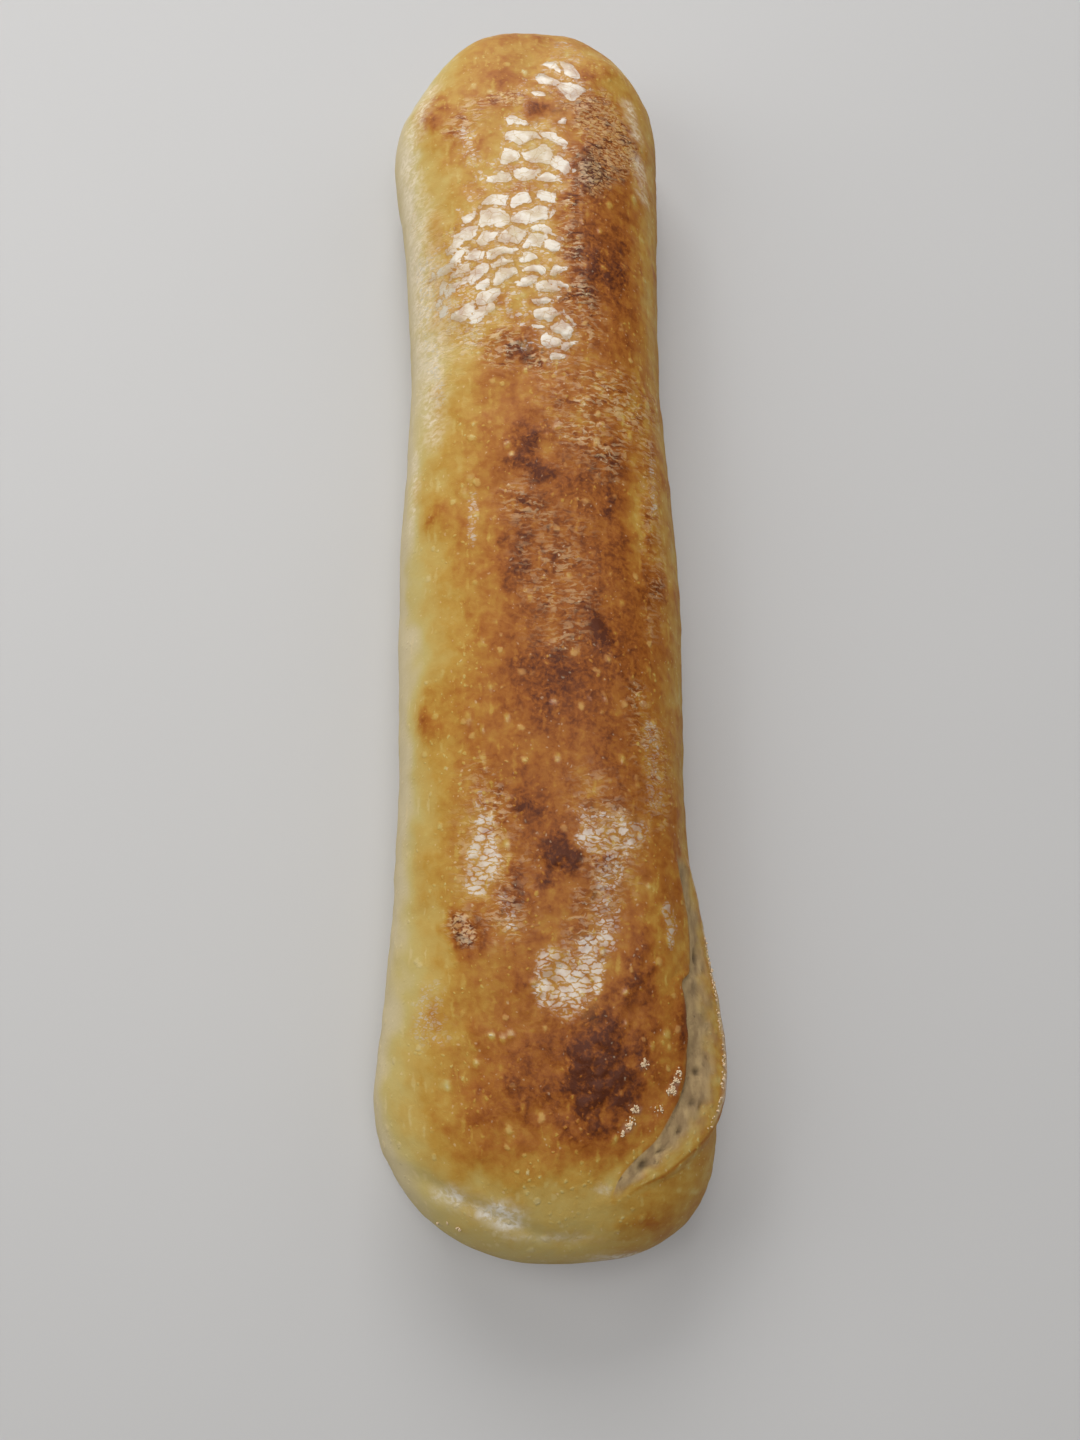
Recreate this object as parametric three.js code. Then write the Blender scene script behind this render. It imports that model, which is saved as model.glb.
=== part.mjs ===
// A long ciabatta loaf, baked in one piece: a slack dough that spread into a flat-based, round-ended bar.
// It lies along Y on its flat base, +Z up, in millimetres. The end towards -Y has burst along its right side,
// where the crust tore open over the crumb and left a lip standing out below the tear.
import * as THREE from "three";
import { mergeVertices } from "three/addons/utils/BufferGeometryUtils.js";

// Driving dimensions
const LENGTH = 379; // from tip to tip
const NEAR_ROUND = 42; // length of the rounding at the burst end
const FAR_ROUND = 46; // length of the rounding at the other end
const WIDEST_LEVEL = 21; // height at which the loaf is widest
const UNDERSIDE_DEPTH = 30; // depth of the lower curve, which the flat base cuts off at Z = 0

const NEAR_TIP = -LENGTH / 2;
const FAR_TIP = LENGTH / 2;

// How boxy each curve is: 2 is an ellipse, and more is squarer
const CROWN_POWER = 2.4;
const UNDERSIDE_POWER = 2.2;
const CROWN_END_POWER = 2.4;
const RIDGE_END_POWER = 2;
const NEAR_END_POWER = { left: 1.85, right: 2.9 };
const FAR_END_POWER = { left: 1.9, right: 1.85 };

// The body at stations along Y: its reach left and right of X = 0, the place of its ridge, and its height
const BODY = [
  { along: -190, left: 46.5, right: 46.5, ridge: 3, height: 45 },
  { along: -150, left: 43.4, right: 45.6, ridge: 3, height: 47 },
  { along: -110, left: 40.4, right: 42, ridge: 4, height: 50 },
  { along: -70, left: 39.4, right: 40.2, ridge: 4, height: 51 },
  { along: -10, left: 41.2, right: 40.8, ridge: 4, height: 50 },
  { along: 55, left: 40, right: 37, ridge: 3, height: 49 },
  { along: 100, left: 42.8, right: 37.4, ridge: 1, height: 48 },
  { along: 142, left: 47.8, right: 38.2, ridge: -2, height: 46 },
  { along: 190, left: 46, right: 39, ridge: -3, height: 43 },
];

// The burst at stations along Y, with angles in degrees round the section, 0 to the right and 90 at the top.
// The torn crust edge is above, the rim of the lip below, and the crumb in between, sunk by depth.
// Past the two ends of the tear, depth and lip are 0 and the angles only lead the columns of vertices on.
const BURST = [
  { along: -190, edge: 60, rim: 54, depth: 0, lip: 0 },
  { along: -173, edge: 56, rim: 52.5, depth: 0, lip: 0 },
  { along: -169, edge: 55, rim: 45.5, depth: 0, lip: 0.3 },
  { along: -166.5, edge: 53.5, rim: 38.5, depth: 0, lip: 0.8 },
  { along: -163, edge: 49, rim: 32, depth: 0, lip: 1.2 },
  { along: -158.5, edge: 41.5, rim: 24.5, depth: 0.05, lip: 1.6 },
  { along: -153.5, edge: 37.3, rim: 18, depth: 0.15, lip: 2.2 },
  { along: -148.5, edge: 33, rim: 15, depth: 0.4, lip: 3.2 },
  { along: -140, edge: 29.8, rim: 12.2, depth: 0.8, lip: 4.2 },
  { along: -126, edge: 30.6, rim: 11.2, depth: 0.8, lip: 3.9 },
  { along: -121, edge: 31.2, rim: 10.5, depth: 0.8, lip: 3.5 },
  { along: -118.5, edge: 25.8, rim: 10, depth: 0.8, lip: 3.3 },
  { along: -106, edge: 25, rim: 9.5, depth: 0.7, lip: 2.2 },
  { along: -96, edge: 29.4, rim: 14.5, depth: 0.6, lip: 1.1 },
  { along: -87, edge: 31.5, rim: 20, depth: 0, lip: 0 },
  { along: -55, edge: 30, rim: 12, depth: 0, lip: 0 },
  { along: 190, edge: 28, rim: 12, depth: 0, lip: 0 },
];
const EDGE_CURL = 0.4; // how far the torn edge curls up
const CURL_REACH = 7; // degrees of crust that lift with it
const TEAR_STEP = 2.5; // degrees over which the edge drops to the crumb
const RIM_WIDTH = 1.5; // degrees of level rim on the lip
const LIP_FALL = 8; // degrees over which the lip runs back into the side

// A fold of dough across the burst end, drawn in plan
const FOLD = [
  { across: -34, along: -166 },
  { across: -18, along: -173 },
  { across: -6, along: -178 },
  { across: 4, along: -181.5 },
  { across: 16, along: -180 },
];
const FOLD_DEPTH = 1.4;
const FOLD_WIDTH = 2;
const FOLD_FADE = 8; // length over which each end of the fold runs out

// Broad swells and hollows: place, reach along Y, spread round the section in degrees, and rise
const SWELLS = [
  { along: 177, angle: 135, reach: 9, spread: 20, rise: 2.6 },
  { along: 178, angle: 72, reach: 7, spread: 14, rise: -1.5 },
  { along: 163, angle: 40, reach: 9, spread: 16, rise: 1.8 },
  { along: 160, angle: 168, reach: 11, spread: 26, rise: -2 },
  { along: 163, angle: 88, reach: 9, spread: 20, rise: -1.4 },
  { along: 118, angle: 60, reach: 22, spread: 18, rise: 0.9 },
  { along: 52, angle: 112, reach: 20, spread: 20, rise: -1 },
  { along: 8, angle: 150, reach: 16, spread: 16, rise: 0.8 },
  { along: -40, angle: 70, reach: 26, spread: 22, rise: 0.9 },
  { along: -88, angle: 118, reach: 12, spread: 14, rise: -1 },
  { along: -104, angle: 62, reach: 16, spread: 15, rise: -1.3 },
  { along: -142, angle: 66, reach: 14, spread: 18, rise: 1 },
];

// Rows of vertices from the near tip to the far one, closest together at the burst and the tips
const ROW_BANDS = [
  { to: NEAR_TIP + NEAR_ROUND, count: 16, shape: "start" },
  { to: -84, count: 24 },
  { to: FAR_TIP - FAR_ROUND, count: 34 },
  { to: FAR_TIP, count: 12, shape: "end" },
];

// Columns of vertices from the middle of the underside, up the right side, over the top and round again.
// The lines of the burst lead them, so that its edge and rim run along columns.
const UNDERSIDE_MIDDLE = -90;
const columnBands = ({ edge, floor, rim }) => [
  { to: -35, count: 4 },
  { to: rim - RIM_WIDTH - LIP_FALL, count: 3 },
  { to: rim - RIM_WIDTH, count: 4 },
  { to: rim, count: 1 },
  { to: floor, count: 5 },
  { to: edge, count: 2 },
  { to: edge + CURL_REACH, count: 3 },
  { to: 130, count: 13 },
  { to: 205, count: 10 },
  { to: 222, count: 4 },
  { to: UNDERSIDE_MIDDLE + 360, count: 3 },
];

const clamp01 = (value) => THREE.MathUtils.clamp(value, 0, 1);
const ease = THREE.MathUtils.smoothstep;
const bell = (offset, width) => Math.exp(-((offset / width) ** 2));

// A smooth curve through one value of a list of stations, which are in rising order of their place
function between(stations, place, value, at) {
  const last = stations.length - 1;
  const slope = (i) => {
    const before = stations[Math.max(i - 1, 0)];
    const after = stations[Math.min(i + 1, last)];
    return (after[value] - before[value]) / (after[place] - before[place]);
  };
  let i = 0;
  while (i < last - 1 && at > stations[i + 1][place]) i += 1;
  const [a, b] = [stations[i], stations[i + 1]];
  const span = b[place] - a[place];
  const t = clamp01((at - a[place]) / span);
  const u = 1 - t;
  return (
    u * u * (1 + 2 * t) * a[value] +
    u * u * t * span * slope(i) +
    t * t * (1 + 2 * u) * b[value] -
    t * t * u * span * slope(i + 1)
  );
}

// 1 along the body, falling to 0 at each tip along a superellipse
function endRound(along, nearPower, farPower) {
  const near = clamp01((NEAR_TIP + NEAR_ROUND - along) / NEAR_ROUND);
  const far = clamp01((along - FAR_TIP + FAR_ROUND) / FAR_ROUND);
  return (1 - near ** nearPower) ** (1 / nearPower) * (1 - far ** farPower) ** (1 / farPower);
}

// The bare section: its centre and the distance from there to the crust at an angle
function section(along, angle) {
  const [c, s] = [Math.cos(angle), Math.sin(angle)];
  const side = c < 0 ? "left" : "right";
  const ridge = between(BODY, "along", "ridge", along) * endRound(along, RIDGE_END_POWER, RIDGE_END_POWER);
  const round = endRound(along, NEAR_END_POWER[side], FAR_END_POWER[side]);
  const reach = between(BODY, "along", side, along) * round;
  const crown = endRound(along, CROWN_END_POWER, CROWN_END_POWER);
  const width = reach + (c < 0 ? ridge : -ridge);
  const rise = crown * (s < 0 ? UNDERSIDE_DEPTH : between(BODY, "along", "height", along) - WIDEST_LEVEL);
  const power = s < 0 ? UNDERSIDE_POWER : CROWN_POWER;
  const radius = (Math.abs(c / width) ** power + Math.abs(s / rise) ** power) ** (-1 / power);
  return { ridge, radius };
}

// The lines and sizes of the burst at a place along Y, with the foot of the torn edge among them
function burstAt(along) {
  const at = (value) => between(BURST, "along", value, along);
  const [edge, rim] = [at("edge"), at("rim")];
  const floor = Math.max(edge - TEAR_STEP, (edge + rim) / 2);
  return { edge, floor, rim, depth: at("depth"), lip: at("lip") };
}

// The burst: the torn edge curls up, drops to the crumb, and the crumb climbs out to the rim of the lip
function burstPush({ edge, floor, rim, depth, lip }, degrees) {
  const curl = EDGE_CURL * clamp01(depth / EDGE_CURL);
  if (degrees >= edge) return curl * (1 - ease(degrees, edge, edge + CURL_REACH));
  if (degrees >= floor) return curl - (curl + depth) * (1 - ease(degrees, floor, edge));
  if (degrees >= rim) return lip - (depth + lip) * clamp01((degrees - rim) / (floor - rim));
  return lip * ease(degrees, rim - RIM_WIDTH - LIP_FALL, rim - RIM_WIDTH);
}

// The fold: a shallow groove across the burst end, above the widest level
function foldPush(x, along) {
  const [first, last] = [FOLD[0].across, FOLD[FOLD.length - 1].across];
  const fade = ease(x, first, first + FOLD_FADE) * (1 - ease(x, last - FOLD_FADE, last));
  return -FOLD_DEPTH * fade * bell(along - between(FOLD, "across", "along", x), FOLD_WIDTH);
}

// The swells and hollows, added up
function swellPush(along, degrees) {
  return SWELLS.reduce(
    (sum, s) => sum + s.rise * bell(along - s.along, s.reach) * bell(degrees - s.angle, s.spread),
    0,
  );
}

// A point of the crust
function crust(along, degrees, burst) {
  const angle = THREE.MathUtils.degToRad(degrees);
  const { ridge, radius } = section(along, angle);
  const end = endRound(along, CROWN_END_POWER, CROWN_END_POWER);
  const plain = ridge + radius * Math.cos(angle);
  const fold = degrees > 0 && degrees < 180 ? foldPush(plain, along) : 0;
  const push = (swellPush(along, degrees) + fold) * end + burstPush(burst, degrees);
  const out = radius + push;
  const height = WIDEST_LEVEL + out * Math.sin(angle);
  return new THREE.Vector3(ridge + out * Math.cos(angle), along, Math.max(height, 0));
}

// Values from a start through each band, even or drawn together towards the start or the end of the band
function spread(start, bands) {
  const shapes = {
    even: (t) => t,
    start: (t) => 1 - Math.cos((t * Math.PI) / 2),
    end: (t) => Math.sin((t * Math.PI) / 2),
  };
  const values = [start];
  for (const { to, count, shape = "even" } of bands) {
    const from = values[values.length - 1];
    for (let k = 1; k <= count; k += 1) values.push(from + (to - from) * shapes[shape](k / count));
  }
  return values;
}

// The loaf is a sphere whose poles are drawn out into the two tips and whose vertices are set on the crust
function loafGeometry() {
  const rows = spread(NEAR_TIP, ROW_BANDS).reverse();
  const around = columnBands(burstAt(0)).reduce((sum, band) => sum + band.count, 0);
  const sphere = new THREE.SphereGeometry(1, around, rows.length - 1);
  const place = sphere.getAttribute("position");
  rows.forEach((along, row) => {
    const tip = row === 0 || row === rows.length - 1;
    const burst = burstAt(along);
    const columns = spread(UNDERSIDE_MIDDLE, columnBands(burst)).reverse();
    columns[0] = UNDERSIDE_MIDDLE; // the first and the last column are the same line
    columns.forEach((degrees, column) => {
      const p = tip ? new THREE.Vector3(0, along, WIDEST_LEVEL) : crust(along, degrees, burst);
      place.setXYZ(row * (around + 1) + column, p.x, p.y, p.z);
    });
  });
  sphere.deleteAttribute("normal");
  sphere.deleteAttribute("uv");
  const closed = mergeVertices(sphere);
  closed.computeVertexNormals();
  return closed;
}

const bakedCrust = new THREE.MeshStandardMaterial({ color: 0xa8743a, roughness: 0.45, metalness: 0 });

const loaf = new THREE.Mesh(loafGeometry(), bakedCrust);
loaf.name = "loaf";

const ciabatta = new THREE.Group();
ciabatta.add(loaf);

export default ciabatta;
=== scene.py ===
# %% [markdown]
# A ciabatta on a pale floor.
# The real loaf is a wet, slack dough that spread on the oven floor: flat below, round at both ends,
# pinched a little at the waist, and burst along one side of the near end. Its character is in the skin: a
# thin, glossy film that browned in patches, blistered, and crackled into small tiles where it was
# stretched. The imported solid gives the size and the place. The loaf that shows is one fine mesh over the
# same form. It carries the skin's relief as geometry, and its browning, gloss and flour as attributes that
# one crust material reads.

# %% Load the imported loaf
import math

import bmesh
import bpy
import numpy as np
from mathutils import Euler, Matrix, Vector, noise


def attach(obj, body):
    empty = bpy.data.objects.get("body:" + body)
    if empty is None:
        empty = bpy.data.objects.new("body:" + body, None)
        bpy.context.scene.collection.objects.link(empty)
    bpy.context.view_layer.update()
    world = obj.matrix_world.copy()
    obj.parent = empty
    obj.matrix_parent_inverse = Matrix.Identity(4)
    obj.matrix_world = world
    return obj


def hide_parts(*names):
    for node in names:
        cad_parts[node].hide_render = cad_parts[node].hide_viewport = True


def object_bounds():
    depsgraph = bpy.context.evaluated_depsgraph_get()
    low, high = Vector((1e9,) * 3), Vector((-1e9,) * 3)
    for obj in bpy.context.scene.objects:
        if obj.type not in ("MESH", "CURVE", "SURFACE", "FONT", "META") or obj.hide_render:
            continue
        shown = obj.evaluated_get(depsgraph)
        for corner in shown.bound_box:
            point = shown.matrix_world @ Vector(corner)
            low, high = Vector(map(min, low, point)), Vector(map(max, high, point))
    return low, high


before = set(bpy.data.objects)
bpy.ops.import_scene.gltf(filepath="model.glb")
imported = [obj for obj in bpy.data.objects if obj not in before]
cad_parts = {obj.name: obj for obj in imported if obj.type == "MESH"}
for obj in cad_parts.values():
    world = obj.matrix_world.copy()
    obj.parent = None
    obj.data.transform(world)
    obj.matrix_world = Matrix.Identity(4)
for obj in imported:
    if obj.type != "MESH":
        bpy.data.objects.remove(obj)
cad_low, cad_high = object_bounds()
MM = 0.001
near_tip, far_tip = cad_low.y / MM, cad_high.y / MM
print("loaf from", round(near_tip, 1), "to", round(far_tip, 1), "mm,", round(cad_high.z / MM, 1), "mm high")

# %% [markdown]
# The camera hangs over the near half of the loaf and looks steeply down along it, as a phone held in the
# hand does. Its wide lens makes the near end larger than the far one, so the lens and the place belong
# together: the focal length is given in pixels of the picture and turned into millimetres of Blender's
# 36 mm sensor.

# %% Camera
PICTURE_HEIGHT = 1440
FOCAL_PIXELS = 1082
SENSOR = 36
CAMERA_PLACE = (0, -0.128, 0.321)
CAMERA_TILT = math.radians(15)
CLIP_START = 0.01

camera_data = bpy.data.cameras.new("camera")
camera_data.sensor_width = SENSOR
camera_data.lens = SENSOR * FOCAL_PIXELS / PICTURE_HEIGHT
camera_data.clip_start = CLIP_START
camera = bpy.data.objects.new("camera", camera_data)
camera.location = CAMERA_PLACE
camera.rotation_euler = (CAMERA_TILT, 0, 0)
bpy.context.scene.collection.objects.link(camera)
bpy.context.scene.camera = camera
print("lens", round(camera_data.lens, 2), "mm")

# %% [markdown]
# Materials are built from nodes, and most of the code of a node tree is bookkeeping. A few small helpers
# keep it readable. The first adds a node and wires or sets its inputs in one go, and the second starts a
# material and hands back its tree and its one Principled shader. The next three stand for the nodes that
# are used most, and the last turns a colour as a screen shows it into one for a shader.

# %% Helpers for node trees
def add(tree, kind, inputs=None, out=0, **settings):
    """Adds a node and returns one of its outputs. Inputs that are sockets are linked, other values set."""
    made = tree.nodes.new(kind)
    for name, value in settings.items():
        setattr(made, name, value)
    for name, value in (inputs or {}).items():
        if isinstance(value, bpy.types.NodeSocket):
            tree.links.new(value, made.inputs[name])
        else:
            made.inputs[name].default_value = value
    return made.outputs[out]


def start_material(name):
    """A new material with its node tree and its Principled shader."""
    material = bpy.data.materials.new(name)
    material.use_nodes = True
    return material, material.node_tree, material.node_tree.nodes["Principled BSDF"]


def math_node(tree, operation, *values, clamp=False):
    """A Math node on up to three values or sockets."""
    return add(tree, "ShaderNodeMath", dict(enumerate(values)), operation=operation, use_clamp=clamp)


def mix_colour(tree, share, below, above):
    """Mixes two colours, each a socket or a plain colour, by a share from 0 to 1."""
    # a Mix node in colour mode keeps its colour inputs at 6 and 7, and its colour output at 2
    return add(tree, "ShaderNodeMix", {0: share, 6: below, 7: above}, out=2, data_type="RGBA")


def ramp(tree, share, low, high):
    """Rises smoothly from 0 to 1 while the share goes from low to high."""
    inputs = {"Value": share, "From Min": low, "From Max": high}
    return add(tree, "ShaderNodeMapRange", inputs, interpolation_type="SMOOTHSTEP")


def linear(red, green, blue):
    """A colour as a screen shows it, from 0 to 255, as the linear colour that shaders work in."""
    shares = [value / 255 for value in (red, green, blue)]
    return [s / 12.92 if s <= 0.04045 else ((s + 0.055) / 1.055) ** 2.4 for s in shares] + [1.0]


# %% [markdown]
# No real surface has one flat tone. Two colours that mix in soft clouds are wanted for the floor and again
# for the flour, so they are made once, as a node group. A group has sockets of its own: what is plugged in
# or set there reaches the nodes inside.

# %% Uneven tone as a node group
uneven_tone = bpy.data.node_groups.new("uneven_tone", "ShaderNodeTree")
for name, kind in (("Scale", "Float"), ("Detail", "Float"), ("Darker", "Color"), ("Lighter", "Color")):
    uneven_tone.interface.new_socket(name, in_out="INPUT", socket_type="NodeSocket" + kind)
for name, kind in (("Tone", "Color"), ("Cloud", "Float")):
    uneven_tone.interface.new_socket(name, in_out="OUTPUT", socket_type="NodeSocket" + kind)
given = uneven_tone.nodes.new("NodeGroupInput").outputs
handed_on = uneven_tone.nodes.new("NodeGroupOutput").inputs
where = add(uneven_tone, "ShaderNodeTexCoord", out="Object")
cloud_settings = {"Vector": where, "Scale": given["Scale"], "Detail": given["Detail"]}
cloud = add(uneven_tone, "ShaderNodeTexNoise", cloud_settings, out="Fac")
tone = mix_colour(uneven_tone, cloud, given["Darker"], given["Lighter"])
uneven_tone.links.new(tone, handed_on["Tone"])
uneven_tone.links.new(cloud, handed_on["Cloud"])
print("uneven tone from", len(uneven_tone.nodes), "nodes")

# %% [markdown]
# The floor is plain and pale, and a little uneven in tone so that it doesn't look like a cut-out. It lies
# a hair under the loaf's base, because two faces in one place fight over which of them shows.

# %% Floor
FLOOR_SIZE = 4.0
FLOOR_GAP = 0.0002
FLOOR_DARKER = (0.56, 0.555, 0.55, 1)
FLOOR_LIGHTER = (0.6, 0.595, 0.59, 1)
FLOOR_ROUGHNESS = 0.8

floor_mesh = bpy.data.meshes.new("floor")
half = FLOOR_SIZE / 2
corners = [(x, y, -FLOOR_GAP) for x, y in ((-half, -half), (half, -half), (half, half), (-half, half))]
floor_mesh.from_pydata(corners, [], [(0, 1, 2, 3)])
floor = bpy.data.objects.new("floor", floor_mesh)
bpy.context.scene.collection.objects.link(floor)

floor_material, tree, shader = start_material("floor")
floor_settings = {"Scale": 3.0, "Detail": 3.0, "Darker": FLOOR_DARKER, "Lighter": FLOOR_LIGHTER}
floor_tone = add(tree, "ShaderNodeGroup", floor_settings, out="Tone", node_tree=uneven_tone)
tree.links.new(floor_tone, shader.inputs["Base Color"])
shader.inputs["Roughness"].default_value = FLOOR_ROUGHNESS
shader.inputs["Specular IOR Level"].default_value = 0
floor_mesh.materials.append(floor_material)
print("floor", FLOOR_SIZE, "m wide")

# %% [markdown]
# Soft light, as from a ceiling full of panels. The key panel hangs beyond the far end and to the left, so
# that the loaf's shadow falls towards the camera and to the right. A panel above, one on the left and a
# weak one on the right soften it, and a grey surround fills the shadows.
# What a glossy skin shows is not the light that falls on it but what it mirrors. Photographers hang white
# sheets for that. Here two more panels play their part: they are seen in reflections only, and light
# nothing else. One stands beyond the far end and is mirrored along the far half, the other hangs above for
# the near end.

# %% Light
SURROUND_COLOUR = (1.0, 0.97, 0.94, 1)
SURROUND_STRENGTH = 0.15


def panel(name, place, aim, width, height, power):
    """A rectangular lamp at a place in metres, turned to face a point."""
    lamp = bpy.data.lights.new(name, "AREA")
    lamp.shape = "RECTANGLE"
    lamp.size, lamp.size_y = width, height
    lamp.energy = power
    made = bpy.data.objects.new(name, lamp)
    made.location = place
    made.rotation_euler = (Vector(aim) - Vector(place)).to_track_quat("-Z", "Y").to_euler()
    made.visible_camera = False
    bpy.context.scene.collection.objects.link(made)
    return made


lamps = [
    panel("key_panel", (-0.2, 1.0, 0.85), (0, 0.1, 0.05), 0.9, 0.65, 9.2),
    panel("top_panel", (0.06, -0.06, 1.1), (0, -0.1, 0.05), 0.8, 0.3, 4.0),
    panel("left_panel", (-0.75, 0.05, 0.6), (0, 0, 0.03), 0.6, 0.8, 3.0),
    panel("right_panel", (0.75, 0.4, 0.6), (0, 0.1, 0.03), 0.6, 0.8, 0.9),
]
sheets = [
    panel("far_sheet", (-0.244, 1.081, 0.748), (-0.044, 0.181, -0.052), 1.33, 1.09, 15),
    panel("top_sheet", (0.12, -0.06, 1.1), (0.12, -0.06, 0), 1.75, 0.53, 10),
]
for lamp in lamps:
    lamp.visible_glossy = False
for sheet in sheets:
    sheet.visible_diffuse = False

world = bpy.data.worlds.new("surround")
world.use_nodes = True
background = world.node_tree.nodes["Background"]
background.inputs["Color"].default_value = SURROUND_COLOUR
background.inputs["Strength"].default_value = SURROUND_STRENGTH
bpy.context.scene.world = world
bpy.context.scene.view_settings.view_transform = "Standard"
print(len(lamps), "panels,", len(sheets), "sheets and a grey surround")

# %% [markdown]
# The form. A loaf like this has no flat faces and no single profile, so it is described by its sections:
# at a few stations along its length it has a reach to the left and right, a ridge and a height, and smooth
# curves run through the stations. Every section is a squared ellipse round its ridge, cut off flat at the
# floor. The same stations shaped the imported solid, so this form lies on it, with far smaller faces and a
# softer fold.

# %% Stations of the form
# along, reach to the left, reach to the right, ridge, height, in millimetres
BODY = np.array([
    (-190, 46.5, 46.5, 3, 45),
    (-150, 43.4, 45.6, 3, 47),
    (-110, 40.4, 42, 4, 50),
    (-70, 39.4, 40.2, 4, 51),
    (-10, 41.2, 40.8, 4, 50),
    (55, 40, 37, 3, 49),
    (100, 42.8, 37.4, 1, 48),
    (142, 47.8, 38.2, -2, 46),
    (190, 46, 39, -3, 43),
])
# along, angle of the torn edge, angle of the lip's rim, depth of the crumb, how far the lip stands out
BURST = np.array([
    (-190, 60, 54, 0, 0),
    (-173, 56, 52.5, 0, 0),
    (-169, 55, 45.5, 0, 0.3),
    (-166.5, 53.5, 38.5, 0, 0.8),
    (-163, 49, 32, 0, 1.2),
    (-158.5, 41.5, 24.5, 0.05, 1.6),
    (-153.5, 37.3, 18, 0.15, 2.2),
    (-148.5, 33, 15, 0.4, 3.2),
    (-140, 29.8, 12.2, 0.8, 4.2),
    (-126, 30.6, 11.2, 0.8, 3.9),
    (-121, 31.2, 10.5, 0.8, 3.5),
    (-118.5, 25.8, 10, 0.8, 3.3),
    (-106, 25, 9.5, 0.7, 2.2),
    (-96, 29.4, 14.5, 0.6, 1.1),
    (-87, 31.5, 20, 0, 0),
    (-55, 30, 12, 0, 0),
    (190, 28, 12, 0, 0),
])
# the fold across the near end: across, along
FOLD = np.array([(-34, -166), (-18, -173), (-6, -178), (4, -181.5), (16, -180)])
# broad swells and hollows: along, angle, reach along, spread in degrees, rise
SWELLS = [
    (177, 135, 9, 20, 2.6),
    (178, 72, 7, 14, -1.5),
    (163, 40, 9, 16, 1.8),
    (160, 168, 11, 26, -2),
    (163, 88, 9, 20, -1.4),
    (118, 60, 22, 18, 0.9),
    (52, 112, 20, 20, -1),
    (8, 150, 16, 16, 0.8),
    (-40, 70, 26, 22, 0.9),
    (-88, 118, 12, 14, -1),
    (-104, 62, 16, 15, -1.3),
    (-142, 66, 14, 18, 1),
]
# how far from each tip the ends begin to round off
NEAR_ROUND, FAR_ROUND = 42, 46
# the level of the widest part, and how far the sections would reach below it if they weren't cut off
WIDEST_LEVEL, UNDERSIDE_DEPTH = 21, 30
# how square the sections and the ends are: 2 is an ellipse, more is squarer
CROWN_POWER, UNDERSIDE_POWER = 2.4, 2.2
CROWN_END_POWER, RIDGE_END_POWER = 2.4, 2
# the same for the left and right outline of the ends, each at the near and the far end
LEFT_END_POWERS, RIGHT_END_POWERS = (1.85, 1.9), (2.9, 1.85)
# the torn edge curls up by a part of a millimetre; the widths of the burst's other steps are in degrees
EDGE_CURL = 0.4
CURL_REACH, TEAR_STEP, RIM_WIDTH, LIP_FALL = 7, 2.5, 1.5, 8
FOLD_DEPTH, FOLD_WIDTH, FOLD_FADE = 1.05, 2.2, 8
print(len(BODY), "stations along the body,", len(BURST), "along the burst")


# %% Curves through the stations
def between(stations, at):
    """Smooth curves through a table of stations: its first column is the place, the others are values."""
    place, value = stations[:, 0], stations[:, 1:]
    last = len(place) - 1
    before = np.maximum(np.arange(last + 1) - 1, 0)
    after = np.minimum(np.arange(last + 1) + 1, last)
    slope = (value[after] - value[before]) / (place[after] - place[before])[:, None]
    i = np.clip(np.searchsorted(place, at) - 1, 0, last - 1)
    span = (place[i + 1] - place[i])[..., None]
    t = np.clip((at - place[i])[..., None] / span, 0, 1)
    u = 1 - t
    rising = u * u * ((1 + 2 * t) * value[i] + t * span * slope[i])
    falling = t * t * ((1 + 2 * u) * value[i + 1] - u * span * slope[i + 1])
    return np.moveaxis(rising + falling, -1, 0)


def ease(value, low, high):
    """Smooth step from 0 to 1 between low and high."""
    t = np.clip((value - low) / (high - low), 0, 1)
    return t * t * (3 - 2 * t)


def bell(offset, width):
    """1 in the middle, and fading to 0 over about twice the width on either side."""
    return np.exp(-((offset / width) ** 2))


# %% [markdown]
# The mesh is a net of rows along the loaf and columns round it. The rows stand closest where the skin is
# most detailed: at the burst and along the glossy far half. The columns follow the torn edge and the rim
# of the lip, so these sharp lines run along edges of the mesh and stay clean.

# %% Rows and columns of the net
def spread(start, bands):
    """Values from a start through bands of (end, count, how), even or drawn together towards one end.
    The start and the ends are single values, or one value for each row."""
    quarter = math.pi / 2
    shapes = {
        "even": lambda t: t,
        "start": lambda t: 1 - np.cos(t * quarter),
        "end": lambda t: np.sin(t * quarter),
    }
    values = [np.asarray(start, float)[..., None]]
    for end, count, how in bands:
        share = shapes[how](np.arange(1, count + 1) / count)
        first = values[-1][..., -1:]
        values.append(first + (np.asarray(end, float)[..., None] - first) * share)
    return np.concatenate(values, axis=-1)


along = spread(near_tip, [
    (near_tip + NEAR_ROUND, 72, "start"),
    (-84, 92, "even"),
    (25, 92, "even"),
    (far_tip - FAR_ROUND, 142, "even"),
    (far_tip, 58, "end"),
])
edge, rim, depth, lip = between(BURST, along)
crumb_foot = np.maximum(edge - TEAR_STEP, (edge + rim) / 2)
# the columns start and end at the middle of the underside, and angles in degrees count from the right
UNDERSIDE_MIDDLE = -90
RIGHT_FOOT, LEFT_SHOULDER, LEFT_FLANK, LEFT_FOOT = -35, 130, 205, 222
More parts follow.
